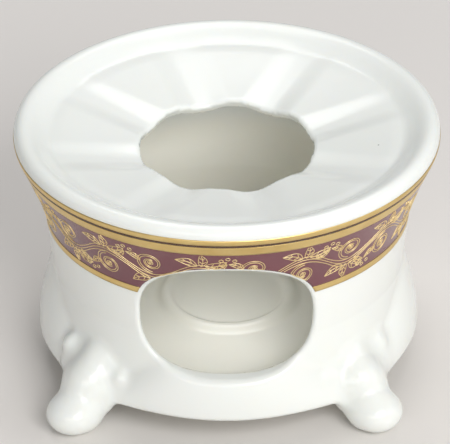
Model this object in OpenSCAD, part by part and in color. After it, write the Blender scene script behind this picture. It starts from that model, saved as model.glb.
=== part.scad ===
// Teapot warmer in white glazed porcelain. A round wall stands on four scroll
// feet and carries a fluted, dished plate with a hole over the flame. A tea
// light goes in through the arched window and sits in a ring on the floor.
// Sizes are in millimetres. The table is z = 0, the axis is x = y = 0 and the
// window faces -Y.

/* [Rim and plate] */
// Outside diameter of the rolled rim
rim_d = 150; // [146:1:160]
// Height of the rim's crest above the table
rim_h = 94; // [90:0.5:104]
// Radius of the rim's roll
roll_r = 3.4; // [2.8:0.1:4]
// Height of the upright face under the roll
lip_h = 2; // [1:0.1:3]
// Width of the soft slope from the crest down to the plate
slope_w = 6.4; // [4:0.1:8]
// Fall from the crest to the outer edge of the plate
slope_fall = 4.6; // [4:0.1:5.4]
// Further fall of the plate from its outer edge to the hole
dish_fall = 6.9; // [3:0.1:7.5]
// Thickness of the plate
plate_t = 4.6; // [4.2:0.1:5.6]
// Diameter of the hole over the flame
hole_d = 61; // [54:0.5:66]
// Width of the bevel round the top of the hole
hole_bevel = 1.1; // [0.6:0.1:1.8]
// How much wider the hole's radius is under the plate than at its lip
hole_flare = 2.4; // [0.5:0.1:4]

/* [Petals on the plate] */
// Number of raised petals that the teapot stands on
petal_count = 8; // [6:1:9]
// Height of a petal above the grooves beside it
petal_rise = 1.8; // [1:0.1:2.2]
// Width of a petal, in degrees about the axis
petal_angle = 40; // [28:1:40]
// Width of the soft slope at the edge of a petal
petal_edge = 7.5; // [3:0.1:8.5]
// How far the end of a petal runs up on the slope of the rim
petal_overlap = 3; // [0:0.1:4]
// Turn of the petals about the axis, from the middle of the window
petal_turn = -6; // [-22:1:22]

/* [Wall] */
// How far the rim stands out past the foot of the wall
overhang = 12.4; // [11:0.2:14]
// How much wider the wall grows up to the rim, without its flare
wall_growth = 9.6; // [6:0.2:12]
// Height of the flare, from its start to the rim's crest
flare_h = 33; // [30:0.5:36]
// Bend of the flare: 1 is a straight cone, 2 is a deep cove
flare_bend = 1.35; // [1.1:0.05:2]
// Thickness of the wall
wall_t = 3.8; // [3.2:0.1:4.4]
// Radius of the rounded corners inside the chamber
corner_r = 5; // [3:0.5:7]

/* [Window] */
// Width of the window
window_w = 59.6; // [50:0.2:64]
// Height of the window's sill above the table
window_sill = 27.1; // [26.5:0.1:34]
// Distance from the crest down to the top of the window
window_drop = 20.5; // [18:0.5:24]
// How far left of the middle the window is cut
window_shift = 0.7; // [0:0.1:1.5]
// How square the window's upper corners are: 2 is an oval
window_top_square = 2.2; // [2:0.1:3]
// How square the window's lower corners are
window_foot_square = 2.9; // [2:0.1:4]

/* [Floor and candle ring] */
// Height of the floor above the table
floor_z = 21; // [20:0.5:24]
// Thickness of the floor
floor_t = 4; // [3.4:0.1:5]
// Inside diameter of the ring that holds the tea light
ring_d = 41; // [38:0.5:46]
// Thickness of the ring
ring_t = 3.5; // [2.5:0.1:5]
// Height of the ring above the floor
ring_h = 2.5; // [1.5:0.1:4]

/* [Skirt] */
// How far the middle of a lobe swells out past the wall
lobe_swell = 5.4; // [3.5:0.1:8]
// Height of the skirt's lower edge above the table
skirt_z = 11.5; // [10:0.5:14]
// Height of a lobe's arch, from the lower edge to its top
lobe_h = 28.5; // [22:0.5:32]
// Height that is left of the arch beside a foot
lobe_end_h = 7.5; // [6:0.5:12]
// How far the lower edge draws in towards the axis beside a foot
lobe_waist = 0.8; // [0:0.1:2.4]
// How much lower the lower edge hangs beside a foot
lobe_dip = 1.6; // [0:0.1:2.4]
// Radius of the skirt's rounded lower edge
skirt_round = 1.7; // [1.2:0.1:2]

/* [Feet] */
// How far left of the rim's middle the four feet stand
foot_shift = 1.7; // [0:0.1:2.5]
// Radius of the ball at the end of a foot
ball_r = 9.2; // [8.6:0.1:10.2]
// Distance from the wall out to the middle of a ball
ball_out = 13.3; // [10.5:0.1:17]
// How far the ground flat on a ball cuts into it
ball_flat = 0.8; // [0.3:0.1:1.2]
// Radius of the neck above a ball
neck_r = 8; // [6.6:0.1:8.8]
// Radius of the foot's root, where it runs in under the skirt
root_r = 8; // [7:0.1:8.8]
// Height of the middle of the root above the table, at the wall
root_z = 15.5; // [14:0.5:18]
// Radius of the knee at the top of a foot
knee_r = 6; // [4.8:0.1:6.8]
// Distance from the wall out to the middle of the knee
knee_out = 0.9; // [-0.5:0.1:3]
// Height of the middle of the knee above the table
knee_z = 23.6; // [22:0.1:27]
// Radius of the calf, the swelling between the round scroll and the neck
calf_r = 4.5; // [3.6:0.1:5.4]
// Distance of the calf from the middle of the foot
calf_side = 8; // [6:0.1:9.5]
// Radius of the round scroll, on the side of the knee away from the window
scroll_r = 3.2; // [2.8:0.1:4]
// Distance from the wall out to the middle of the round scroll
scroll_out = 1.4; // [-0.5:0.1:2.2]
// Angle about the axis from the knee to the round scroll
scroll_angle = 12; // [10:1:16]
// Height of the middle of the round scroll above the table
scroll_z = 22.8; // [20:0.1:24]
// Radius of the tail, on the side of the knee towards the window
tail_r = 1.8; // [1.4:0.1:2.6]
// Angle about the axis from the knee to the end of the tail
tail_angle = 8; // [6:1:10]
// Height of the end of the tail above the table
tail_z = 21.4; // [20:0.1:24]

/* [Decoration] */
// Thickness of the fired colour and of the gilding
film_t = 0.15; // [0.1:0.01:0.2]
// Bare white left between the roll and the upper gold line
line_gap = 0.6; // [0.2:0.1:1.5]
// Width of the upper gold line
line_w = 2.2; // [1.4:0.1:3]
// Width of the dark line under it
dark_w = 1.2; // [0.8:0.1:2]
// Width of the wide gold line
wide_line_w = 4; // [2.5:0.1:5]
// Width of the maroon band
band_w = 22; // [20:0.5:24]
// Width of the lower gold line
low_line_w = 2.4; // [1.6:0.1:3.2]
// Number of half-round scrolls in the gold frieze
scroll_count = 24; // [24:2:30]
// Width of the drawn lines of the frieze
stroke_w = 0.9; // [0.6:0.1:1.2]
// Radius of the small circle inside each scroll
curl_r = 4; // [3:0.1:5]
// Radius of the berry in the middle of each scroll
berry_r = 1.4; // [0.8:0.1:2]
// Length of a leaf of the frieze
leaf_l = 7; // [5:0.5:8]
// Width of a leaf of the frieze
leaf_w = 2.4; // [1.6:0.1:3]

/* [Hidden] */
$fn = 96;

white = "#f2f1ee";
maroon = "#85525c";
dark = "#4a2a20";
gold = "#d1a955";

// How deep one form is set into another that it grows out of
bite = 1;
foot_turn = 45;
lobes = 4;
rim_r = rim_d / 2;
hole_r = hole_d / 2;
wall_low_r = rim_r - overhang;
skirt_r = wall_low_r + lobe_swell;
crest_r = rim_r - roll_r;
plate_r = crest_r - slope_w;
plate_edge_z = rim_h - slope_fall;
roll_z = rim_h - roll_r;
lip_z = roll_z - lip_h;
flare_z = rim_h - flare_h;
skirt_top_z = skirt_z + lobe_h;
under_z = floor_z - floor_t;
line_top = roll_z - line_gap;
dark_top = line_top - line_w;
wide_top = dark_top - dark_w;
band_top = wide_top - wide_line_w;
band_low = band_top - band_w;
low_line_low = band_low - low_line_w;
window_top = rim_h - window_drop;
window_h = window_top - window_sill;

// Smooth step from 0 to 1
function ease(t) = let(c = min(1, max(0, t))) c * c * (3 - 2 * c);

// Outside radius of the wall and its flare at height z
function wall_curve(z) = wall_low_r
    + wall_growth / 2 * max(0, (z - skirt_top_z) / (lip_z - skirt_top_z))
    + (rim_r - wall_low_r - wall_growth / 2) * pow(max(0, (z - flare_z) / (lip_z - flare_z)), flare_bend);

// The same outside as a chain of cones, which wall and decoration share
wall_chain = concat(
    [[skirt_z, wall_low_r], [skirt_top_z, wall_low_r]],
    [for (i = [0:6]) let(z = flare_z + (lip_z - flare_z) * i / 6) [z, wall_curve(z)]],
    [[roll_z, rim_r]]
);
function wall_r(z) = lookup(z, wall_chain);

// Height of the grooves in the plate at radius r
function plate_z(r) = plate_edge_z - dish_fall * (plate_r - r) / (plate_r - hole_r);

// Closed ring through a list of outlines, the last one joined to the first
module loft_ring(outlines) {
    n = len(outlines);
    m = len(outlines[0]);
    at = function(i, j) (i % n) * m + j % m;
    polyhedron(
        points = [for (outline = outlines) each outline],
        faces = [for (i = [0:n - 1], j = [0:m - 1]) each [
            [at(i, j), at(i + 1, j), at(i, j + 1)],
            [at(i, j + 1), at(i + 1, j), at(i + 1, j + 1)]
        ]]
    );
}

// Solid between a grid of points and the same grid moved down by depth
module cushion(grid, depth) {
    n = len(grid);
    m = len(grid[0]);
    top = function(i, j) i * m + j;
    low = function(i, j) n * m + i * m + j;
    quad = function(a, b, c, d) [[a, b, c], [a, c, d]];
    polyhedron(
        points = concat(
            [for (row = grid) each row],
            [for (row = grid) for (p = row) p - [0, 0, depth]]
        ),
        faces = concat(
            [for (i = [0:n - 2], j = [0:m - 2])
                each quad(top(i, j), top(i, j + 1), top(i + 1, j + 1), top(i + 1, j))],
            [for (i = [0:n - 2], j = [0:m - 2])
                each quad(low(i, j), low(i + 1, j), low(i + 1, j + 1), low(i, j + 1))],
            [for (i = [0:n - 2])
                each quad(top(i, 0), top(i + 1, 0), low(i + 1, 0), low(i, 0))],
            [for (i = [0:n - 2])
                each quad(top(i + 1, m - 1), top(i, m - 1), low(i, m - 1), low(i + 1, m - 1))],
            [for (j = [0:m - 2])
                each quad(top(0, j + 1), top(0, j), low(0, j), low(0, j + 1))],
            [for (j = [0:m - 2])
                each quad(top(n - 1, j), top(n - 1, j + 1), low(n - 1, j + 1), low(n - 1, j))]
        )
    );
}

// Outside of wall, flare, rolled rim and plate, solid to the axis
module outer_form() {
    rotate_extrude()
        polygon(concat(
            [[0, skirt_z + bite], [wall_low_r, skirt_z + bite]],
            [for (p = wall_chain) if (p[0] > skirt_z) [p[1], p[0]]],
            [for (a = [15:15:90]) [crest_r + roll_r * cos(a), roll_z + roll_r * sin(a)]],
            [for (i = [1:6]) [crest_r - slope_w * i / 6, rim_h - slope_fall * ease(i / 6)]],
            [[0, plate_z(0)]]
        ));
}

// Hollow for the flame, with the wall's and the plate's thickness around it
module chamber() {
    low_r = wall_low_r - wall_t;
    high_z = plate_edge_z - plate_t - corner_r;
    high_r = wall_r(high_z) - wall_t;
    roof_z = plate_z(high_r - corner_r) - plate_t;
    rotate_extrude()
        polygon(concat(
            [[0, floor_z]],
            [for (a = [-90:15:0])
                [low_r - corner_r * (1 - cos(a)), floor_z + corner_r * (1 + sin(a))]],
            [for (p = wall_chain) if (p[0] > floor_z + corner_r && p[0] < high_z) [p[1] - wall_t, p[0]]],
            [for (a = [0:18:90])
                [high_r - corner_r * (1 - cos(a)), high_z + (roof_z - high_z) * sin(a)]],
            [[0, plate_z(0) - plate_t]]
        ));
}

// Shallow hollow under the floor
module hollow_below() {
    cylinder(h = under_z, r = wall_low_r - wall_t);
}

// Round hole with an upright lip, wider underneath. The bevel on top bites deeper
// into the petals than into the grooves.
module hole() {
    low_z = plate_z(0) - plate_t - bite;
    edge_z = plate_z(hole_r);
    bevel_h = petal_rise + 2 * hole_bevel;
    rotate_extrude()
        polygon([
            [0, low_z],
            [hole_r + hole_flare, low_z],
            [hole_r + hole_flare, edge_z - plate_t],
            [hole_r, edge_z - plate_t / 2],
            [hole_r, edge_z - hole_bevel],
            [hole_r + bevel_h, edge_z - hole_bevel + bevel_h],
            [0, edge_z - hole_bevel + bevel_h]
        ]);
}

// One raised petal: flat on top, with soft sides and a soft, rounded end
module petal() {
    end_r = plate_r + petal_overlap;
    start_r = hole_r - bite;
    half = petal_angle / 2;
    sink = petal_rise / 4;
    across = [-1, -0.93, -0.86, -0.78, -0.68, -0.55, -0.35, 0, 0.35, 0.55, 0.68, 0.78, 0.86, 0.93, 1];
    along = [0, 0.3, 0.6, 0.8, 0.84, 0.88, 0.92, 0.96, 1];
    short_of = function(gap) max(0, 1 - gap / petal_edge);
    rise = function(r, a) (petal_rise + sink) * ease(1 - norm([
        short_of((half - abs(a)) * PI / 180 * r),
        short_of(end_r - r)
    ])) - sink;
    cushion(
        [for (v = along) let(r = start_r + (end_r - start_r) * v)
            [for (u = across) let(a = half * u) [r * cos(a), r * sin(a), plate_z(r) + rise(r, a)]]],
        plate_t / 2
    );
}

// Lobed skirt: arches that swell out of the wall and round under
module skirt() {
    steps = 96;
    inner_r = wall_low_r - wall_t / 2;
    section = function(a) let(
            beside = abs(sin(a * lobes / 2)),
            low = skirt_z - lobe_dip * pow(beside, 6),
            base = low + skirt_round,
            top = skirt_top_z - (lobe_h - lobe_end_h) * pow(beside, 2.5),
            edge_r = skirt_r - lobe_waist * pow(beside, 2),
            start_r = wall_low_r - bite / 4
        ) concat(
            [[inner_r, top + bite]],
            [for (i = [0:6]) [start_r + (edge_r - start_r) * sin(15 * i), top + (base - top) * i / 6]],
            [for (b = [-30:-30:-90]) [edge_r - skirt_round * (1 - cos(b)), base + skirt_round * sin(b)]],
            [[inner_r - wall_t / 2 - bite, low]]
        );
    loft_ring([for (i = [0:steps - 1]) let(a = i * 360 / steps)
        [for (p = section(a)) [p[0] * cos(a), p[0] * sin(a), p[1]]]]);
}

// Ball at one point, and a taper from it to another point
module limb(from, to, from_r, to_r) {
    run = to - from;
    translate(from) {
        sphere(r = from_r);
        rotate([0, acos(run.z / norm(run)), atan2(run.y, run.x)])
            cylinder(h = norm(run), r1 = from_r - bite / 4, r2 = to_r - bite / 4);
    }
}

// One foot: a knee that draws in to a neck and swells to a ball, with a wide
// root under the skirt, a calf and a round scroll on one side and a tail on the other
module foot() {
    knee = [wall_low_r + knee_out, 0, knee_z];
    ball = [wall_low_r + ball_out, 0, ball_r - ball_flat];
    neck = (knee + ball) / 2;
    root = [wall_low_r - wall_t, 0, root_z];
    calf = [wall_low_r, -calf_side, (knee_z + root_z) / 2];
    beside = function(out, angle, z) let(reach = wall_low_r + out)
        [reach * cos(angle), reach * sin(angle), z];
    limb(knee, neck, knee_r, neck_r);
    limb(neck, ball, neck_r, ball_r - bite / 2);
    limb(ball, root, ball_r, root_r);
    limb(calf, neck, calf_r, neck_r - bite);
    limb(beside(scroll_out, -scroll_angle, scroll_z), calf, scroll_r, scroll_r * 0.8);
    limb(beside(scroll_out, tail_angle, tail_z), knee, tail_r, knee_r / 2);
}

// Ring on the floor that keeps the tea light in the middle
module candle_ring() {
    outer_r = ring_d / 2 + ring_t;
    translate([0, 0, floor_z])
        rotate_extrude()
            polygon([
                [ring_d / 2, -bite],
                [outer_r, -bite],
                [outer_r, 0],
                [outer_r - ring_t * 0.15, ring_h * 0.6],
                [outer_r - ring_t * 0.4, ring_h],
                [ring_d / 2, ring_h]
            ]);
}

// Prism that cuts the window through the front: an oval with squared corners
module window() {
    power = function(a) 2 / (sin(a) > 0 ? window_top_square : window_foot_square);
    translate([-window_shift, -wall_low_r / 2, window_sill + window_h / 2])
        rotate([90, 0, 0])
            linear_extrude(rim_r)
                polygon([for (a = [3:6:357]) [
                    window_w / 2 * sign(cos(a)) * pow(abs(cos(a)), power(a)),
                    window_h / 2 * sign(sin(a)) * pow(abs(sin(a)), power(a))
                ]]);
}

// Layer of fired colour on the wall, from height low to height high
module film(low, high, layer = 0) {
    inside = layer * film_t;
    heights = concat([low], [for (p = wall_chain) if (p[0] > low && p[0] < high) p[0]], [high]);
    last = len(heights) - 1;
    rotate_extrude()
        polygon(concat(
            [for (i = [0:last]) [wall_r(heights[i]) + inside, heights[i]]],
            [for (i = [last:-1:0]) [wall_r(heights[i]) + inside + film_t, heights[i]]]
        ));
}

// Flat arc from angle start to angle end, stroke_w wide, in straight steps
module arc(radius, start, end, steps) {
    ray = function(i, r) let(a = start + (end - start) * i / steps) [r * cos(a), r * sin(a)];
    polygon(concat(
        [for (i = [0:steps]) ray(i, radius + stroke_w / 2)],
        [for (i = [steps:-1:0]) ray(i, radius - stroke_w / 2)]
    ));
}

// Pointed leaf that grows up from the origin
module leaf() {
    side = [[0, 0], [0.42, 0.25], [0.5, 0.5], [0.3, 0.8], [0, 1]];
    polygon(concat(
        [for (p = side) [p[0] * leaf_w, p[1] * leaf_l]],
        [for (i = [len(side) - 2:-1:1]) [-side[i][0] * leaf_w, side[i][1] * leaf_l]]
    ));
}

// One scroll of the frieze: a half circle over a curl and a berry, with three leaves below
module scroll_outline() {
    scroll_radius = wall_r((band_low + band_top) / 2) * sin(180 / scroll_count);
    arc(scroll_radius, 0, 180, 9);
    translate([0, curl_r / 2]) {
        arc(curl_r, -120, 180, 9);
        circle(r = berry_r, $fn = 8);
    }
    for (turn = [-50, 0, 50])
        rotate(180 + turn)
            translate([0, curl_r / 2 + stroke_w])
                leaf();
}

module porcelain_body() {
    color(white)
        difference() {
            union() {
                difference() {
                    union() {
                        outer_form();
                        for (i = [0:petal_count - 1])
                            rotate(petal_turn - 90 + i * 360 / petal_count)
                                petal();
                        skirt();
                        translate([-foot_shift, 0, 0])
                            for (i = [0, 1], j = [0, 1])
                                mirror([i, 0, 0])
                                    mirror([0, j, 0])
                                        rotate(foot_turn)
                                            foot();
                    }
                    chamber();
                    hollow_below();
                    translate([-rim_d, -rim_d, -rim_h])
                        cube([2 * rim_d, 2 * rim_d, rim_h]);
                }
                candle_ring();
            }
            hole();
            window();
        }
}

module maroon_band() {
    color(maroon)
        difference() {
            film(band_low, band_top);
            window();
        }
}

module dark_line() {
    color(dark)
        film(wide_top, dark_top);
}

module gold_lines() {
    color(gold) {
        film(dark_top, line_top);
        film(band_top, wide_top);
        difference() {
            film(low_line_low, band_low);
            window();
        }
    }
}

module gold_frieze() {
    color(gold)
        difference() {
            intersection() {
                film(band_low, band_top, 1);
                for (i = [0:scroll_count - 1])
                    rotate((i + 0.5) * 360 / scroll_count)
                        translate([0, -wall_low_r / 2, (band_low + band_top) / 2])
                            rotate([90, 0, 0])
                                linear_extrude(rim_r)
                                    mirror([0, i % 2, 0])
                                        scroll_outline();
            }
            window();
        }
}

porcelain_body();
maroon_band();
dark_line();
gold_lines();
gold_frieze();
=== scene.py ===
import math

import bmesh
import bpy
import mathutils
import numpy as np
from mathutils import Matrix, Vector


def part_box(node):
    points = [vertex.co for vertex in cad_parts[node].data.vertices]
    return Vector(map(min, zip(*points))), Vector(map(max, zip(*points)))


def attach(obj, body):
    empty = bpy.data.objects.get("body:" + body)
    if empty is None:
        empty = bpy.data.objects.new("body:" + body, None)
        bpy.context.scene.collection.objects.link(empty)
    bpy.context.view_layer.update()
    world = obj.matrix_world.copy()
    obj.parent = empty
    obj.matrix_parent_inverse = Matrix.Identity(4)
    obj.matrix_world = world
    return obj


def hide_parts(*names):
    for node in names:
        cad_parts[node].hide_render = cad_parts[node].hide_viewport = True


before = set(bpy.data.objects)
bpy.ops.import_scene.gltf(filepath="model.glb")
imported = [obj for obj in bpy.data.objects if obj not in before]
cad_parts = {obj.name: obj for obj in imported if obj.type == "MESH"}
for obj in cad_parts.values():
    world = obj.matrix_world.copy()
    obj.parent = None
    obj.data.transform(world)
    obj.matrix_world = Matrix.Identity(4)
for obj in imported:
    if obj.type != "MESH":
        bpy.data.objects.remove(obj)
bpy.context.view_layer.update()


# Porcelain body. The whole warmer is one slip casting: round flared wall, rolled
# rim, dished plate with petals, flame hole, window, floor with its ring, lobed
# skirt and four scroll feet, all run together by a thick clear glaze.
MM = 0.001
body_low, body_high = [[c / MM for c in corner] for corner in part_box("porcelain_body")]

# Rim and plate, with sizes in millimetres and angles in radians
rim_radius = (body_high[0] - body_low[0]) / 2
rim_height = body_high[2]
roll_radius = 3.4
crest_radius = rim_radius - roll_radius
slope_width, slope_sweep = 6.4, 10
slope_fall = 4.6
plate_radius = crest_radius - slope_width
plate_thickness = 4.6
dish_fall, dish_softness = 6.9, 0.1
hole_radius, hole_low = 30.5, 60
hole_taper, taper_cosine = 0.55, 0.9
lip_round, lip_face = 1.3, 1
petals = 8
petal_rise, petal_end_rise = 1.8, 0.65
petal_half_angle = math.radians(20.5)
petal_edge, petal_overlap = 9.5, 1.5
petal_turn = math.radians(-96)

# Wall and flare
wall_radius_low = 62.6
wall_growth = 4.8
wall_thickness = 3.8
flare_height, flare_stop = 33, 2
flare_start = rim_height - flare_height
flare_end = rim_height - roll_radius - flare_stop
flare_bend = 1.35
flare_melt = 0.8

# Lobed skirt and feet. Over its lobes the skirt goes on for a stretch, buried in the wall
skirt_radius = 68
skirt_low, skirt_roll = 11.5, 1.7
skirt_dip, dip_point = 1.6, 6
lobe_top, lobe_drop, lobe_point = 40, 20, 2.5
lobe_tip, lobe_proud = 2.5, 0.9
lobe_waist, lobe_buried = 0.8, 8
wall_low = skirt_low + 1
skirt_melt = 1
foot_shift, foot_melt = -1.7, 5
ground_edge = 0.5

# Chamber, floor and the ring for the tea light
floor_height, floor_thickness = 21, 4
chamber_corner, hollow_corner = 5, 2
ring_inner, ring_outer, ring_rise = 20.5, 24, 1.5
ring_round, ring_melt, ring_sunk = 1.6, 3.4, 1

# Window, cut through the front of the wall only
window_half_width = 29.8
window_shift = -0.7
window_low, window_high = 27.1, 73.5
window_top_square, window_foot_square = 2.2, 2.9
window_edge = 1.9
window_back = -30


def meet(a, b, radius):
    """What two solids share, with the edge between them rounded to the radius."""
    corner = np.hypot(np.maximum(a + radius, 0), np.maximum(b + radius, 0))
    return np.minimum(np.maximum(a, b), -radius) + corner


def melt(a, b, reach):
    """Two solids run together, with a soft hollow of about the reach where they join."""
    near = np.maximum(reach - np.abs(a - b), 0) / reach
    return np.minimum(a, b) - near * near * reach / 4


def ease(t):
    """Soft step from 0 to 1."""
    t = np.clip(t, 0, 1)
    return t * t * (3 - 2 * t)


def wall_radius(z):
    """Outside radius of the wall: nearly straight, then a flare up to the lip."""
    growth = wall_growth * np.clip((z - lobe_top) / (flare_end - lobe_top), 0, None)
    flare = np.clip((z - flare_start) / (flare_end - flare_start), 0, None) ** flare_bend
    grown = wall_radius_low + growth + (rim_radius - wall_radius_low - wall_growth) * flare
    return melt(grown, np.full_like(grown, rim_radius), flare_melt)


def groove_height(r):
    """Height of the plate between its petals: a slope inside the rim, then a fall to the hole."""
    t = np.clip((plate_radius - r) / (plate_radius - hole_radius), 0, None)
    slope = slope_fall * ease((crest_radius - r) / slope_sweep)
    return rim_height - slope - dish_fall * (1 + dish_softness) * t * t / (t + dish_softness)


def petal_height(r, angle):
    """Rise of the petals above the grooves: highest at the hole, with soft sides and end."""
    pitch = 2 * math.pi / petals
    beside = np.abs((angle - petal_turn + pitch / 2) % pitch - pitch / 2)
    short_side = np.clip(1 - (petal_half_angle - beside) * r / petal_edge, 0, None)
    short_end = np.clip(1 - (plate_radius + petal_overlap - r) / petal_edge, 0, None)
    out = np.clip((r - hole_radius) / (plate_radius - hole_radius), 0, 1)
    rise = petal_end_rise + (petal_rise - petal_end_rise) * (1 - out) ** 2
    return rise * ease(1 - np.hypot(short_side, short_end))


def flared_wall(r, z, offset):
    """Distance from the wall's outside, moved inwards by the offset."""
    slope = wall_radius(z + 0.5) - wall_radius(z - 0.5)
    return (r - wall_radius(z) + offset) / np.sqrt(1 + slope * slope)


def lobed_skirt(r, angle, z):
    """Four arches that swell out of the wall and roll under above the table."""
    beside = np.abs(np.sin(2 * angle))
    top = lobe_top - lobe_tip - lobe_drop * beside ** lobe_point
    low = skirt_low - skirt_dip * beside ** dip_point
    reach = skirt_radius - lobe_waist * beside ** 2 - wall_radius_low
    base = low + skirt_roll
    t = (top - z) / (top - base)
    quarter_turn = math.pi / 2
    arc = np.where(t > 0, np.sin(quarter_turn * np.clip(t, 0, 1)), quarter_turn * t)
    slope = reach * quarter_turn / (top - base) * np.cos(quarter_turn * np.clip(t, 0, 1))
    swell = lobe_proud + (reach - lobe_proud) * arc
    side = (r - wall_radius_low - swell) / np.sqrt(1 + slope * slope)
    return np.maximum(meet(side, low - z, skirt_roll), z - lobe_top - lobe_buried)


def limb(u, v, z, start, end):
    """Rounded limb between two balls, each given as (out from the axis, aside, height, radius)."""
    a, b = np.array(start), np.array(end)
    run = b[:3] - a[:3]
    along = (u - a[0]) * run[0] + (v - a[1]) * run[1] + (z - a[2]) * run[2]
    t = np.clip(along / run.dot(run), 0, 1)
    middle = [a[i] + t * run[i] for i in range(3)]
    away = np.sqrt((u - middle[0]) ** 2 + (v - middle[1]) ** 2 + (z - middle[2]) ** 2)
    return away - a[3] - (b[3] - a[3]) * ease(t)


def scroll_foot(x, y, z):
    """Four mirrored feet. Each has a knee, a neck, a wide root and a flattened ball. On the side
    away from the window are a calf, a web and a round scroll, towards it a flank and a tail."""
    u = (np.abs(x - foot_shift) + np.abs(y)) / math.sqrt(2)
    v = (np.abs(x - foot_shift) - np.abs(y)) / math.sqrt(2)
    knee, neck, ankle = (62, 1, 21.4, 6.4), (66.8, 0.3, 15.8, 7.2), (72.8, 0, 9.2, 5.8)
    root = (59, 0, 15, 7.4)
    leg_melt = 4
    foot = melt(limb(u, v, z, knee, neck), limb(u, v, z, neck, ankle), leg_melt)
    foot = melt(foot, limb(u, v, z, root, ankle), leg_melt)

    ball_u, ball_v, ball_z = 75.8, -0.3, 6.6
    half_u, half_v, half_z = 9.1, 9.3, 7.1
    mean_half, ball_melt = 7.6, 3
    across = ((u - ball_u) / half_u) ** 2 + ((v - ball_v) / half_v) ** 2
    ball = (np.sqrt(across + ((z - ball_z) / half_z) ** 2) - 1) * mean_half
    foot = melt(foot, ball, ball_melt)

    calf = (62, 8, 19.5, 4.5), (67.5, 2.4, 13.5, 6.2), 4.5
    flank = (65.5, -4.5, 8.4, 4.2), (72, -3.2, 6, 5.6), 3
    web = (62, 12, 16, 4.6), (67.5, 4, 12, 5.2), 4
    scroll = (62.2, 13.5, 22.8, 3.3), (60.5, 7, 19.5, 4), 3
    tail = (62.2, -10, 20, 2), (61.4, -3, 20.5, 4), 3.5
    for start, end, reach in (calf, flank, web, scroll, tail):
        foot = melt(foot, limb(u, v, z, start, end), reach)
    return foot


def window_way(x, y, z):
    """The window: an oval with squared corners that runs in from the front."""
    half_height = (window_high - window_low) / 2
    tiny, least_slope = 1e-9, 1e-6
    u = np.abs(x - window_shift) / window_half_width + tiny
    v = np.abs(z - window_low - half_height) / half_height + tiny
    n = np.where(z > window_low + half_height, window_top_square, window_foot_square)
    level = (u ** n + v ** n) ** (1 / n)
    steep = level ** (1 - n) * np.hypot(u ** (n - 1) / window_half_width, v ** (n - 1) / half_height)
    return np.maximum((level - 1) / np.maximum(steep, least_slope), y - window_back)


def porcelain(x, y, z):
    """Distance in millimetres from the glaze, below zero inside the porcelain."""
    r, angle = np.hypot(x, y), np.arctan2(y, x)
    petal = petal_height(r, angle)
    over_plate = z - groove_height(r) - petal
    solid = meet(flared_wall(r, z, 0), over_plate, roll_radius)
    solid = np.maximum(solid, wall_low - z)
    solid = melt(solid, lobed_skirt(r, angle, z), skirt_melt)
    solid = melt(solid, scroll_foot(x, y, z), foot_melt)
    solid = meet(solid, -z, ground_edge)

    chamber = meet(flared_wall(r, z, wall_thickness), over_plate + plate_thickness, chamber_corner)
    chamber = meet(chamber, floor_height - z, chamber_corner)
    under_floor = z - floor_height + floor_thickness
    hollow = meet(r - wall_radius_low + wall_thickness, under_floor, hollow_corner)
    solid = np.maximum(np.maximum(solid, -chamber), -hollow)

    ring_middle, ring_half = (ring_inner + ring_outer) / 2, (ring_outer - ring_inner) / 2
    ring = meet(np.abs(r - ring_middle) - ring_half, z - floor_height - ring_rise, ring_round)
    solid = melt(solid, np.maximum(ring, floor_height - ring_sunk - z), ring_melt)

    lip_height = rim_height - slope_fall - dish_fall + petal
    under_lip = np.clip(lip_height - lip_face - z, 0, None)
    hole = (r - hole_radius - hole_taper * under_lip) * taper_cosine
    solid = meet(solid, -np.maximum(hole, hole_low - z), lip_round)
    return meet(solid, -window_way(x, y, z), window_edge)


def uphill(field, points):
    """Direction in which the field grows, at each point."""
    step = 0.05
    moves = step * np.eye(3)
    along = [field(*(points + move).T) - field(*(points - move).T) for move in moves]
    return np.stack(along, axis=1) / (2 * step)


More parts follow.
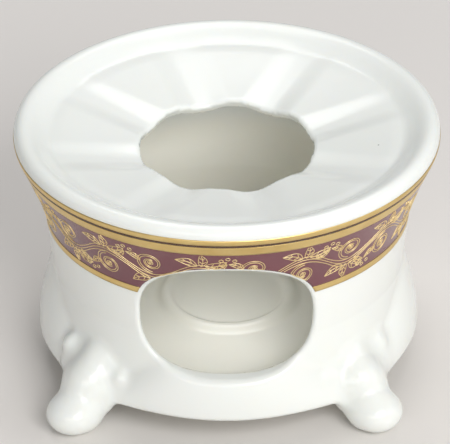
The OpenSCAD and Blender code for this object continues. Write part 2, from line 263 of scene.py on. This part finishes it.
def skin(field, low, high, step):
    """Points and four-sided faces of the surface where the field is zero."""
    axes = [np.arange(a - 1.5 * step, b + 2.5 * step, step) for a, b in zip(low, high)]
    value = field(*np.meshgrid(*axes, indexing="ij"))
    inside = value < 0
    shape = np.array(value.shape) - 1
    corners = [(i, j, k) for i in (0, 1) for j in (0, 1) for k in (0, 1)]
    unit = np.eye(3, dtype=int)

    # The grid's cells that the surface runs through, each with a number
    filled = np.zeros(shape, dtype=int)
    for i, j, k in corners:
        filled += inside[i:i + shape[0], j:j + shape[1], k:k + shape[2]]
    cells = np.argwhere((filled > 0) & (filled < len(corners)))
    number = np.full(shape, -1)
    number[tuple(cells.T)] = np.arange(len(cells))

    # A point in each, amid the places where the surface crosses the cell's edges
    total, crossings = np.zeros((len(cells), 3)), np.zeros((len(cells), 1))
    for corner in corners:
        for axis in range(3):
            if corner[axis]:
                continue
            a = cells + np.array(corner)
            b = a + unit[axis]
            va, vb = value[tuple(a.T)], value[tuple(b.T)]
            cut = (va < 0) != (vb < 0)
            t = np.where(cut, va / np.where(cut, va - vb, 1), 0)[:, None]
            total += np.where(cut[:, None], a + t * (b - a), 0)
            crossings += cut[:, None]
    origin = np.array([axis[0] for axis in axes])
    points = origin + step * total / crossings

    # A face across each crossed edge, between the four cells round it
    faces = []
    for axis in range(3):
        du, dv = unit[(axis + 1) % 3], unit[(axis + 2) % 3]
        here, there = [slice(None)] * 3, [slice(None)] * 3
        here[axis], there[axis] = slice(None, -1), slice(1, None)
        start, end = inside[tuple(here)], inside[tuple(there)]
        for leaving in (True, False):
            at = np.argwhere((start & ~end) if leaving else (~start & end))
            ring = [at - du - dv, at - dv, at, at - du]
            quad = np.stack([number[tuple(cell.T)] for cell in ring], axis=1)
            faces.append(quad if leaving else quad[:, ::-1])
    faces = np.concatenate(faces)

    # The points drift towards their neighbours, and after each round back on to the surface
    settle_rounds, approach_rounds = 6, 2
    drift, longest_move, least_slope = 0.5, 0.5, 0.05
    edges = np.concatenate([faces[:, [i, (i + 1) % 4]] for i in range(4)])
    for settle in range(settle_rounds):
        around, links = np.zeros_like(points), np.zeros((len(points), 1))
        np.add.at(around, edges[:, 0], points[edges[:, 1]])
        np.add.at(links, edges[:, 0], 1)
        points = points + drift * (around / links - points)
        for approach in range(approach_rounds):
            slope = uphill(field, points)
            steep = np.maximum((slope * slope).sum(axis=1, keepdims=True), least_slope)
            away = np.clip(field(*points.T)[:, None], -longest_move, longest_move)
            points = points - away * slope / steep
    return points, faces


def mesh_object(name, points, faces):
    """Object with smooth faces, its points given in millimetres."""
    mesh = bpy.data.meshes.new(name)
    mesh.from_pydata((np.asarray(points) * MM).tolist(), [], np.asarray(faces).tolist())
    mesh.validate()
    mesh.polygons.foreach_set("use_smooth", [True] * len(mesh.polygons))
    obj = bpy.data.objects.new(name, mesh)
    bpy.context.scene.collection.objects.link(obj)
    return obj


glaze_step = 1.32
points, faces = skin(porcelain, body_low, body_high, glaze_step)
casting = mesh_object("porcelain_casting", points, faces)
outwards = uphill(porcelain, points)
outwards /= np.maximum(np.linalg.norm(outwards, axis=1, keepdims=True), 1e-9)
casting.data.normals_split_custom_set_from_vertices(outwards.tolist())


def linear(hex_colour):
    """Colour as Blender's shader takes it, from a hex colour as a screen shows it."""
    parts = [int(hex_colour[i:i + 2], 16) / 255 for i in (1, 3, 5)]
    return [c / 12.92 if c <= 0.04045 else ((c + 0.055) / 1.055) ** 2.4 for c in parts] + [1]


def node(tree, kind, at, inputs=None, **settings):
    """Adds a node. An input is a value, or the socket that feeds it."""
    new = tree.nodes.new(kind)
    new.location = (at[0] * 200, at[1] * 200)
    for key, value in settings.items():
        setattr(new, key, value)
    for key, value in (inputs or {}).items():
        if isinstance(value, bpy.types.NodeSocket):
            tree.links.new(value, new.inputs[key])
        else:
            new.inputs[key].default_value = value
    return new


def new_material(name):
    """Material with its Principled shader, its tree and the place on the piece."""
    material = bpy.data.materials.new(name)
    material.use_nodes = True
    tree = material.node_tree
    place = node(tree, "ShaderNodeTexCoord", (-7, 0)).outputs["Object"]
    return material, tree, tree.nodes["Principled BSDF"], place


def set_inputs(shader, **values):
    """Sets inputs of the shader, each named with an underscore for a space."""
    for key, value in values.items():
        shader.inputs[key.replace("_", " ")].default_value = value


def pattern_scale(size):
    """Scale of a pattern whose patches are about the given number of millimetres wide."""
    return 1 / (size * MM)


# Clear glaze on white porcelain, fired to glass: wet and bright, with broad highlights that
# the uneven coat bends a little, painted warm light in the chamber, bare clay below.
cloud_size, swell_size, peel_size = 36, 18, 2.4
swell_depth, peel_depth = 0.6, 0.04
iron_speck = (53, -9, 88.3)

# Each of these is where a colour starts and where it is full: the painted warm light of the chamber by its
# distance from the axis and by its height, the speck by its distance from its middle, the clay by its
# height
painted_light_radius, painted_light_top = (61.2, 60.4), (81, 79)
speck_edge, bare_edge = (0.4, 0.1), (0.4, 0.1)
glaze_roughness, clay_roughness = 0.21, 0.75
glaze, tree, shader, place = new_material("white_glazed_porcelain")
set_inputs(shader, IOR=1.5, Coat_Weight=0.1, Coat_Roughness=0.05, Subsurface_Weight=0.3,
           Subsurface_Radius=(0.003, 0.0027, 0.0023), Subsurface_Scale=1)
height = node(tree, "ShaderNodeSeparateXYZ", (-5, -2), {"Vector": place}).outputs["Z"]

cloud = node(tree, "ShaderNodeTexNoise", (-5, 1), {
    "Vector": place, "Scale": pattern_scale(cloud_size), "Detail": 2, "Roughness": 0.5})
tint = node(tree, "ShaderNodeMix", (-3, 1), data_type="RGBA", inputs={
    "Factor": cloud.outputs["Fac"], "A": linear("#f6f9f5"), "B": linear("#f2f5ef")})

# Painted warm light inside the chamber: a paler cream for the light that comes through the wall and
# bounces round in it
level = node(tree, "ShaderNodeVectorMath", (-6, 3), {0: place, 1: (1, 1, 0)}, operation="MULTIPLY")
out = node(tree, "ShaderNodeVectorMath", (-5, 3), {0: level.outputs["Vector"]}, operation="LENGTH")
within = node(tree, "ShaderNodeMapRange", (-4, 3), {
    "Value": out.outputs["Value"], "From Min": painted_light_radius[0] * MM, "From Max": painted_light_radius[1] * MM})
below = node(tree, "ShaderNodeMapRange", (-4, 4), {
    "Value": height, "From Min": painted_light_top[0] * MM, "From Max": painted_light_top[1] * MM})
inside = node(tree, "ShaderNodeMath", (-3, 3), operation="MULTIPLY", inputs={
    0: within.outputs["Result"], 1: below.outputs["Result"]})
painted_warm_light = node(tree, "ShaderNodeMix", (-2, 2), data_type="RGBA", inputs={
    "Factor": inside.outputs["Value"], "A": tint.outputs["Result"], "B": linear("#f9f7ed")})

# A speck of iron on the plate, and bare clay where the feet stand
off_speck = node(tree, "ShaderNodeVectorMath", (-3, 5), operation="DISTANCE", inputs={
    0: place, 1: [c * MM for c in iron_speck]})
speck = node(tree, "ShaderNodeMapRange", (-2, 5), {
    "Value": off_speck.outputs["Value"], "From Min": speck_edge[0] * MM, "From Max": speck_edge[1] * MM})
spotted = node(tree, "ShaderNodeMix", (-1, 3), data_type="RGBA", inputs={
    "Factor": speck.outputs["Result"], "A": painted_warm_light.outputs["Result"], "B": linear("#7d776c")})
bare = node(tree, "ShaderNodeMapRange", (-3, -2), {
    "Value": height, "From Min": bare_edge[0] * MM, "From Max": bare_edge[1] * MM})
clay = node(tree, "ShaderNodeMix", (-1, 0), data_type="RGBA", inputs={
    "Factor": bare.outputs["Result"], "A": spotted.outputs["Result"], "B": linear("#cfc6b8")})
dull = node(tree, "ShaderNodeMapRange", (-1, -2), {
    "Value": bare.outputs["Result"], "To Min": glaze_roughness, "To Max": clay_roughness})

wave = node(tree, "ShaderNodeTexNoise", (-5, -4), {
    "Vector": place, "Scale": pattern_scale(swell_size), "Detail": 1})
peel = node(tree, "ShaderNodeTexNoise", (-5, -6), {
    "Vector": place, "Scale": pattern_scale(peel_size), "Detail": 2})
swell = node(tree, "ShaderNodeBump", (-3, -4), {
    "Height": wave.outputs["Fac"], "Strength": 0.15, "Distance": swell_depth * MM})
coat = node(tree, "ShaderNodeBump", (-1, -4), {
    "Height": peel.outputs["Fac"], "Strength": 0.12, "Distance": peel_depth * MM,
    "Normal": swell.outputs["Normal"]})
tree.links.new(clay.outputs["Result"], shader.inputs["Base Color"])
tree.links.new(dull.outputs["Result"], shader.inputs["Roughness"])
tree.links.new(coat.outputs["Normal"], shader.inputs["Normal"])
casting.data.materials.append(glaze)
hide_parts("porcelain_body")
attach(casting, "root")


# Maroon band. A decal of ground overglaze colour, slid on to the flare wet and
# fired again. The window cuts through its lower half, and the white edge of the
# window stays bare.
band_low, band_high = [corner[2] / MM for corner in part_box("maroon_band")]
colour_height, colour_sunk = 0.09, 0.03
window_middle = (window_low + window_high) / 2


def window_reach(z, margin):
    """Half the width of the window and its edge, at a height over its middle. Zero above it."""
    half_height = (window_high - window_low) / 2 + margin
    v = np.abs(z - window_middle) / half_height
    n = window_top_square
    return (window_half_width + margin) * np.clip(1 - v ** n, 0, 1) ** (1 / n)


def strip_rows(low, high, step):
    """Heights of a strip's rows, closer together where the top of the window bends over."""
    angles = np.radians(np.arange(30, 91, 4))
    bends = np.sin(angles) ** (2 / window_top_square)
    bends = window_middle + (window_high + window_edge - window_middle) * bends
    bends = bends[(bends > low) & (bends < high)]
    return np.unique(np.round(np.concatenate([np.arange(low, high, step), [high], bends]), 3))


def fired_strip(name, low, high, proud, step=0.75, columns=300):
    """Layer of colour round the wall between two heights, open where the window is."""
    rows = strip_rows(low, high, step)
    gaps = window_reach(rows, window_edge)
    points, faces = [], []
    for depth in (proud, -colour_sunk):
        for z, reach in zip(rows, gaps):
            radius = wall_radius(np.array(z)) + depth
            shift = window_shift * (reach > 0)
            left, right = [math.asin((side * reach + shift) / radius) for side in (-1, 1)]
            for turn in np.linspace(-left, 2 * math.pi - right, columns + 1):
                points.append((-radius * math.sin(turn), -radius * math.cos(turn), z))

    width = columns + 1
    layer = width * len(rows)
    for i in range(len(rows) - 1):
        for a in range(i * width, i * width + columns):
            faces.append((a, a + width, a + width + 1, a + 1))
            faces.append((layer + a, layer + a + 1, layer + a + width + 1, layer + a + width))
        if max(gaps[i], gaps[i + 1]) > 0:
            for a in (i * width, i * width + columns):
                faces.append((a, layer + a, layer + a + width, a + width))
    for start in (0, layer - width):
        for a in range(start, start + columns):
            faces.append((a, layer + a, layer + a + 1, a + 1))

    strip = mesh_object(name, points, faces)
    weld, thinnest = 0.01 * MM, 0.005 * MM
    seam = bmesh.new()
    seam.from_mesh(strip.data)
    bmesh.ops.remove_doubles(seam, verts=seam.verts, dist=weld)
    bmesh.ops.dissolve_degenerate(seam, edges=seam.edges, dist=thinnest)
    bmesh.ops.recalc_face_normals(seam, faces=seam.faces)
    seam.to_mesh(strip.data)
    seam.free()
    return strip


band = fired_strip("maroon_colour", band_low, band_high, colour_height)

# Ground metal oxide in a soft flux, fired on the glaze: satin, darker where it lies thick. Its
# own grain is too fine to show, so it is drawn as wide as the render needs.
blotch_size, oxide_grain = 17, 0.67
oxide_depth = 0.03
maroon, tree, shader, place = new_material("maroon_overglaze_colour")
set_inputs(shader, Roughness=0.16, Coat_Weight=0.2, Coat_Roughness=0.1)
blotch = node(tree, "ShaderNodeTexNoise", (-5, 1), {
    "Vector": place, "Scale": pattern_scale(blotch_size), "Detail": 4, "Roughness": 0.6})
shade = node(tree, "ShaderNodeMix", (-3, 1), data_type="RGBA", inputs={
    "Factor": blotch.outputs["Fac"], "A": linear("#6c3b43"), "B": linear("#7e4a52")})
grain = node(tree, "ShaderNodeTexNoise", (-5, -2), {
    "Vector": place, "Scale": pattern_scale(oxide_grain), "Detail": 2})
matting = node(tree, "ShaderNodeBump", (-3, -2), {
    "Height": grain.outputs["Fac"], "Strength": 0.15, "Distance": oxide_depth * MM})
tree.links.new(shade.outputs["Result"], shader.inputs["Base Color"])
tree.links.new(matting.outputs["Normal"], shader.inputs["Normal"])
band.data.materials.append(maroon)
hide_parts("maroon_band")
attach(band, "root")


# Dark line. A thin line of brown-black overglaze colour, painted between the two
# gold lines under the rim.
dark_low, dark_high = [corner[2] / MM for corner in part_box("dark_line")]
line = fired_strip("dark_painted_line", dark_low, dark_high, colour_height)

# The same kind of colour laid with a banding brush: brown-black, paler where the brush ran dry.
smudge_size = 3.3
dark, tree, shader, place = new_material("dark_brown_overglaze")
set_inputs(shader, Roughness=0.22)
smudge = node(tree, "ShaderNodeTexNoise", (-5, 1), {
    "Vector": place, "Scale": pattern_scale(smudge_size), "Detail": 3})
shade = node(tree, "ShaderNodeMix", (-3, 1), data_type="RGBA", inputs={
    "Factor": smudge.outputs["Fac"], "A": linear("#3d2018"), "B": linear("#5b3a22")})
tree.links.new(shade.outputs["Result"], shader.inputs["Base Color"])
line.data.materials.append(dark)
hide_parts("dark_line")
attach(line, "root")


# Gold lines. Liquid bright gold, brushed on while the warmer turns on a wheel and
# fired last: a narrow and a wide line over the band and one under it.
gold_low, gold_high = [corner[2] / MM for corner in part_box("gold_lines")]
gold_height = 0.12
join = bmesh.new()
for low, high in ((dark_high, gold_high), (band_high, dark_low), (gold_low, band_low)):
    stripe = fired_strip("gold_stripe", low, high, gold_height)
    join.from_mesh(stripe.data)
    bpy.data.objects.remove(stripe)
gilding = mesh_object("gold_lines_fired", [], [])
join.to_mesh(gilding.data)
join.free()


# A film of gold over the smooth glaze: warm metal gloss, a little paler and duller in patches
# where the brush laid it thin. Its burnishing marks are drawn wider than they are, to show.
brush_patch, burnish_mark = 6.3, 0.56
burnish_depth = 0.03


def new_gold(name, hex_low, hex_high, roughness):
    """Fired gold of two near shades, from its glossiest to a little duller."""
    duller = 0.2
    gold, tree, shader, place = new_material(name)
    set_inputs(shader, Metallic=0.9)
    patch = node(tree, "ShaderNodeTexNoise", (-5, 1), {
        "Vector": place, "Scale": pattern_scale(brush_patch), "Detail": 4, "Roughness": 0.6})
    shade = node(tree, "ShaderNodeMix", (-3, 1), data_type="RGBA", inputs={
        "Factor": patch.outputs["Fac"], "A": linear(hex_low), "B": linear(hex_high)})
    sheen = node(tree, "ShaderNodeMapRange", (-3, -1), {
        "Value": patch.outputs["Fac"], "To Min": roughness, "To Max": roughness + duller})
    marks = node(tree, "ShaderNodeTexNoise", (-5, -3), {
        "Vector": place, "Scale": pattern_scale(burnish_mark), "Detail": 2})
    bump = node(tree, "ShaderNodeBump", (-3, -3), {
        "Height": marks.outputs["Fac"], "Strength": 0.3, "Distance": burnish_depth * MM})
    tree.links.new(shade.outputs["Result"], shader.inputs["Base Color"])
    tree.links.new(sheen.outputs["Result"], shader.inputs["Roughness"])
    tree.links.new(bump.outputs["Normal"], shader.inputs["Normal"])
    return gold


line_gold = new_gold("burnished_gold_lustre", "#d9b56a", "#efd79a", 0.26)
gilding.data.materials.append(line_gold)
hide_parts("gold_lines")
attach(gilding, "root")


# Gold ornament. Drawn with a pen in liquid gold on the fired maroon: a running
# stem with scrolls, veined leaves and berries. Each line is a thread of gold that
# lies on the band and stops at the window.
bays = 12
middle_height = (band_low + band_high) / 2
middle_radius = float(wall_radius(np.array(middle_height)))
bay_length = 2 * math.pi * middle_radius / bays
half_band = (band_high - band_low) / 2
stem_swing = 0.36 * half_band
strand_gap, strand_spread = 1.1, 0.3
scroll_drop, scroll_radius = 0.3 * half_band, 0.52 * half_band
scroll_turns, scroll_heart, scroll_gap = 1.6, 1.6, 1
knot_circles = (1, 14), (0.5, 8)
leaf_fan = (20, 7.6, 3.4), (90, 6.2, 3), (160, 7.6, 3.4)
leaf_foot, leaf_lift = 1.5, 0.9
leaf_bow, leaf_fullness = 0.12, 0.9
vein_first, vein_span, vein_run, vein_reach = 0.25, 0.62, 0.16, 0.82
side_leaf_length, side_leaf_width, side_leaf_angle = 5.6, 2.4, 0.5
side_leaf_off, side_leaf_drop = 5.2, 3.6
berry_radius, berry_gap, berry_margin, berry_arch = 0.75, 2.2, 2, 0.9

# Power that makes a curl tighten, and a leaf fill out, sooner than evenly
crowding = 0.8


def curl(middle, start_radius, end_radius, start_angle, turns, points=46):
    """Spiral that winds inwards."""
    t = np.linspace(0, 1, points)
    radius = start_radius + (end_radius - start_radius) * t ** crowding
    angle = start_angle + turns * 2 * math.pi * t
    return np.stack([middle[0] + radius * np.cos(angle), middle[1] + radius * np.sin(angle)], axis=1)


def circle(middle, radius, points):
    """Closed round line."""
    angle = np.linspace(0, 2 * math.pi, points)
    return np.stack([middle[0] + radius * np.cos(angle), middle[1] + radius * np.sin(angle)], axis=1)


def leaf_lines(root, angle, length, width, veins=2):
    """Outline, rib and side veins of a pointed leaf, as lines on the flat band."""
    def rib(t):
        """Sideways bow of the leaf's middle line, from its foot to its tip."""
        return leaf_bow * length * np.sin(math.pi * t)

    def belly(t):
        """Half the leaf's width there."""
        return width / 2 * np.maximum(np.sin(math.pi * t ** crowding), 0) ** leaf_fullness

    t = np.linspace(0, 1, 15)
    lines = [np.stack([t * length, rib(t) + side * belly(t)], axis=1) for side in (-1, 0, 1)]
    for i in range(veins):
        start = vein_first + vein_span * i / veins
        end = start + vein_run
        for side in (-1, 1):
            tip = (end * length, rib(end) + side * vein_reach * belly(end))
            lines.append(np.array([(start * length, rib(start)), tip]))
    turn = np.array([[math.cos(angle), math.sin(angle)], [-math.sin(angle), math.cos(angle)]])
    return [line @ turn + np.array(root) for line in lines]


def scroll_lines(across, side):
    """One scroll with its knot, its fan of leaves, berries and a small leaf each way. It hangs
    under the stem where side is 1 and stands over it, mirrored, where side is -1."""
    middle = (across, -side * scroll_drop)
    gap_middle = across + bay_length / 4
    lines = []
    for inset in (0, scroll_gap):
        heart = scroll_heart - 0.5 * inset
        lines.append(curl(middle, scroll_radius - inset, heart, side * math.pi / 2, -side * scroll_turns))
    for radius, points in knot_circles:
        lines.append(circle(middle, radius, points))
    for degrees, length, width in leaf_fan:
        turn = math.radians(degrees)
        root = (across + leaf_foot * math.cos(turn), side * (stem_swing + leaf_lift))
        lines += leaf_lines(root, side * turn, length, width)
    for berry in (-1, 0, 1):
        height = half_band - berry_margin - abs(berry) * berry_arch
        lines.append(circle((gap_middle + berry * berry_gap, -side * height), berry_radius, 10))
    for way, angle in ((-1, -side * side_leaf_angle), (1, side * side_leaf_angle + math.pi)):
        root = (gap_middle + way * side_leaf_off, -side * side_leaf_drop)
        lines += leaf_lines(root, angle, side_leaf_length, side_leaf_width)
    return lines


def bay_lines():
    """All lines of one bay: a wave of the stem, with a scroll under its crest and one over its trough."""
    along = np.linspace(0, bay_length, 60)
    wave = np.sin(2 * math.pi * along / bay_length)
    lines = []
    for strand in (-strand_gap, 0, strand_gap):
        spread = strand * (1 + strand_spread * np.abs(wave))
        lines.append(np.stack([along, stem_swing * wave + spread], axis=1))
    return lines + scroll_lines(bay_length / 4, 1) + scroll_lines(3 * bay_length / 4, -1)


def line_object(name, lines):
    """The lines as edges of a mesh, in metres."""
    points, edges = [], []
    for line_points in lines:
        first = len(points)
        points += [(x * MM, y * MM, 0) for x, y in line_points]
        edges += [(i, i + 1) for i in range(first, first + len(line_points) - 1)]
    mesh = bpy.data.meshes.new(name)
    mesh.from_pydata(points, edges, [])
    obj = bpy.data.objects.new(name, mesh)
    bpy.context.scene.collection.objects.link(obj)
    return obj


pattern = line_object("ornament_bay", bay_lines())
tree = bpy.data.node_groups.new("gold_threads_on_band", "GeometryNodeTree")
sizes = {
    "Band": ("NodeSocketObject", band),
    "Bays": ("NodeSocketInt", bays),
    "Bay Length": ("NodeSocketFloat", bay_length * MM),
    "Middle Radius": ("NodeSocketFloat", middle_radius * MM),
    "Middle Height": ("NodeSocketFloat", middle_height * MM),
    "Line Radius": ("NodeSocketFloat", 0.16 * MM),
    "Point Spacing": ("NodeSocketFloat", 0.6 * MM),
    "Ray Start": ("NodeSocketFloat", 100 * MM),
    "Ray Length": ("NodeSocketFloat", 45 * MM)}
tree.interface.new_socket("Geometry", in_out="INPUT", socket_type="NodeSocketGeometry")
for name, (kind, value) in sizes.items():
    tree.interface.new_socket(name, in_out="INPUT", socket_type=kind)
tree.interface.new_socket("Geometry", in_out="OUTPUT", socket_type="NodeSocketGeometry")
given = node(tree, "NodeGroupInput", (-14, 0)).outputs

# The bays in a row on the flat, as curves with evenly spaced points
offset = node(tree, "ShaderNodeCombineXYZ", (-13, 3), {"X": given["Bay Length"]})
row = node(tree, "GeometryNodeMeshLine", (-12, 2), {"Count": given["Bays"]}, mode="OFFSET")
tree.links.new(offset.outputs["Vector"], row.inputs["Offset"])
copies = node(tree, "GeometryNodeInstanceOnPoints", (-10, 2), {
    "Points": row.outputs["Mesh"], "Instance": given["Geometry"]})
laid = node(tree, "GeometryNodeRealizeInstances", (-9, 2), {"Geometry": copies.outputs["Instances"]})
drawn = node(tree, "GeometryNodeMeshToCurve", (-8, 2), {"Mesh": laid.outputs["Geometry"]})
spaced = node(tree, "GeometryNodeResampleCurve", (-7, 2), mode="LENGTH", inputs={
    "Curve": drawn.outputs["Curve"], "Length": given["Point Spacing"]})

# Where each point comes to lie: along the row is round the axis, and up is up
position = node(tree, "GeometryNodeInputPosition", (-14, -2))
flat = node(tree, "ShaderNodeSeparateXYZ", (-13, -2), {"Vector": position.outputs["Position"]})
turn = node(tree, "ShaderNodeMath", (-12, -2), operation="DIVIDE", inputs={
    0: flat.outputs["X"], 1: given["Middle Radius"]})
sine = node(tree, "ShaderNodeMath", (-11, -2), {0: turn.outputs["Value"]}, operation="SINE")
cosine = node(tree, "ShaderNodeMath", (-11, -3), {0: turn.outputs["Value"]}, operation="COSINE")
outward = node(tree, "ShaderNodeCombineXYZ", (-10, -2), {
    "X": sine.outputs["Value"], "Y": cosine.outputs["Value"]})
height = node(tree, "ShaderNodeMath", (-11, -4), operation="ADD", inputs={
    0: flat.outputs["Y"], 1: given["Middle Height"]})
level = node(tree, "ShaderNodeCombineXYZ", (-10, -4), {"Z": height.outputs["Value"]})
far = node(tree, "ShaderNodeVectorMath", (-9, -3), operation="MULTIPLY_ADD", inputs={
    0: outward.outputs["Vector"], 1: given["Ray Start"], 2: level.outputs["Vector"]})
inward = node(tree, "ShaderNodeVectorMath", (-9, -5), operation="MULTIPLY", inputs={
    0: outward.outputs["Vector"], 1: (-1, -1, -1)})

# A ray from outside finds the band there. A point whose ray meets no band is cut off
surface = node(tree, "GeometryNodeObjectInfo", (-9, -7), transform_space="ORIGINAL", inputs={
    "Object": given["Band"]})
touch = node(tree, "GeometryNodeRaycast", (-7, -3), {
    "Target Geometry": surface.outputs["Geometry"], "Source Position": far.outputs["Vector"],
    "Ray Direction": inward.outputs["Vector"], "Ray Length": given["Ray Length"]})
missed = node(tree, "FunctionNodeBooleanMath", (-6, -2), {0: touch.outputs["Is Hit"]}, operation="NOT")
trimmed = node(tree, "GeometryNodeDeleteGeometry", (-5, 2), domain="POINT", inputs={
    "Geometry": spaced.outputs["Curve"], "Selection": missed.outputs["Boolean"]})
wrapped = node(tree, "GeometryNodeSetPosition", (-4, 2), {
    "Geometry": trimmed.outputs["Geometry"], "Position": touch.outputs["Hit Position"]})

# A line that is cut down to one point has no length to be a thread, and goes too
left_over = node(tree, "GeometryNodeSplineLength", (-5, 4)).outputs["Point Count"]
single = node(tree, "ShaderNodeMath", (-4, 4), {0: left_over, 1: 1.5}, operation="LESS_THAN")
lines_left = node(tree, "GeometryNodeDeleteGeometry", (-3, 4), domain="CURVE", inputs={
    "Geometry": wrapped.outputs["Geometry"], "Selection": single.outputs["Value"]})

# Each line gets its thickness and the gold
profile = node(tree, "GeometryNodeCurvePrimitiveCircle", (-4, 0), {
    "Resolution": 6, "Radius": given["Line Radius"]})
threads = node(tree, "GeometryNodeCurveToMesh", (-3, 2), {
    "Curve": lines_left.outputs["Geometry"], "Profile Curve": profile.outputs["Curve"], "Fill Caps": True})
whole = node(tree, "GeometryNodeRealizeInstances", (-2, 2), {"Geometry": threads.outputs["Mesh"]})
drawn_gold = new_gold("drawn_liquid_gold", "#f0cf8a", "#fdecc0", 0.34)
finished = node(tree, "GeometryNodeSetMaterial", (-1, 2), {
    "Geometry": whole.outputs["Geometry"], "Material": drawn_gold})
node(tree, "NodeGroupOutput", (0, 2), {"Geometry": finished.outputs["Geometry"]})

threading = pattern.modifiers.new("threads", "NODES")
threading.node_group = tree
for item in tree.interface.items_tree:
    if item.in_out == "INPUT" and item.name in sizes:
        threading[item.identifier] = sizes[item.name][1]
evaluated = pattern.evaluated_get(bpy.context.evaluated_depsgraph_get())
ornament_mesh = bpy.data.meshes.new_from_object(evaluated)
pattern.modifiers.remove(threading)
bpy.data.objects.remove(pattern)
ornament = bpy.data.objects.new("gold_scroll_ornament", ornament_mesh)
bpy.context.scene.collection.objects.link(ornament)
ornament_mesh.polygons.foreach_set("use_smooth", [True] * len(ornament_mesh.polygons))
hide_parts("gold_frieze")
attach(ornament, "root")


# Table and room. A plain pale sheet of paper on a flat table top, lit by a soft key
# lamp from the front and right, two weak fills and a large lamp overhead. The camera
# stands where the photographer did.
table_size, table_middle = 6, (0, 1.2, 0)
bpy.ops.mesh.primitive_plane_add(size=table_size, location=table_middle)
floor = bpy.context.object
floor.name = "table"

# Uncoated paper: even, dull and warm white, with no gloss to mirror the porcelain.
sheet, tree, shader, place = new_material("pale_paper_sheet")
set_inputs(shader, Roughness=0.9)
shader.inputs["Base Color"].default_value = linear("#e9e5e1")
floor.data.materials.append(sheet)

room_light = 0.28
world = bpy.context.scene.world or bpy.data.worlds.new("room")
bpy.context.scene.world = world
world.use_nodes = True
world.node_tree.nodes["Background"].inputs["Color"].default_value = linear("#eff0f2")
world.node_tree.nodes["Background"].inputs["Strength"].default_value = room_light

lamp_aim = (0, 0, 0.05)


def soft_lamp(name, place, size, power):
    """Rectangular lamp turned to the middle of the warmer, in metres and watts."""
    light = bpy.data.lights.new(name, "AREA")
    light.shape, light.energy = "RECTANGLE", power
    light.size, light.size_y = size
    lamp = bpy.data.objects.new(name, light)
    lamp.location = place
    aim = mathutils.Vector(lamp_aim) - mathutils.Vector(place)
    lamp.rotation_euler = aim.to_track_quat("-Z", "Y").to_euler()
    bpy.context.scene.collection.objects.link(lamp)


soft_lamp("key_softbox", (0.56, -1.22, 1.02), (0.9, 0.8), 15)
soft_lamp("fill_softbox", (-0.35, -1.4, 0.6), (1, 0.5), 3.4)
soft_lamp("side_softbox", (1.3, -0.3, 0.7), (1, 0.9), 3)
soft_lamp("overhead_softbox", (0.03, 0.58, 1.5), (1.1, 1.1), 8.7)

# The lens, the shift, the pitch and the roll are fitted to the outline in the photo
camera_data = bpy.data.cameras.new("photo_camera")
camera_data.lens, camera_data.sensor_width = 336.6, 36
camera_data.shift_x, camera_data.shift_y = -0.006, 0.0142
camera_data.clip_end = 20
camera = bpy.data.objects.new("photo_camera", camera_data)
pitch = math.radians(31.6)
distance, aim_height, roll = 1.5, 0.049, -0.0089
camera.location = (0, -distance * math.cos(pitch), aim_height + distance * math.sin(pitch))
camera.rotation_euler = (mathutils.Euler((math.pi / 2 - pitch, 0, 0)).to_matrix() @
                         mathutils.Euler((0, 0, roll)).to_matrix()).to_euler()
bpy.context.scene.collection.objects.link(camera)
bpy.context.scene.camera = camera
bpy.context.scene.view_settings.view_transform = "Standard"
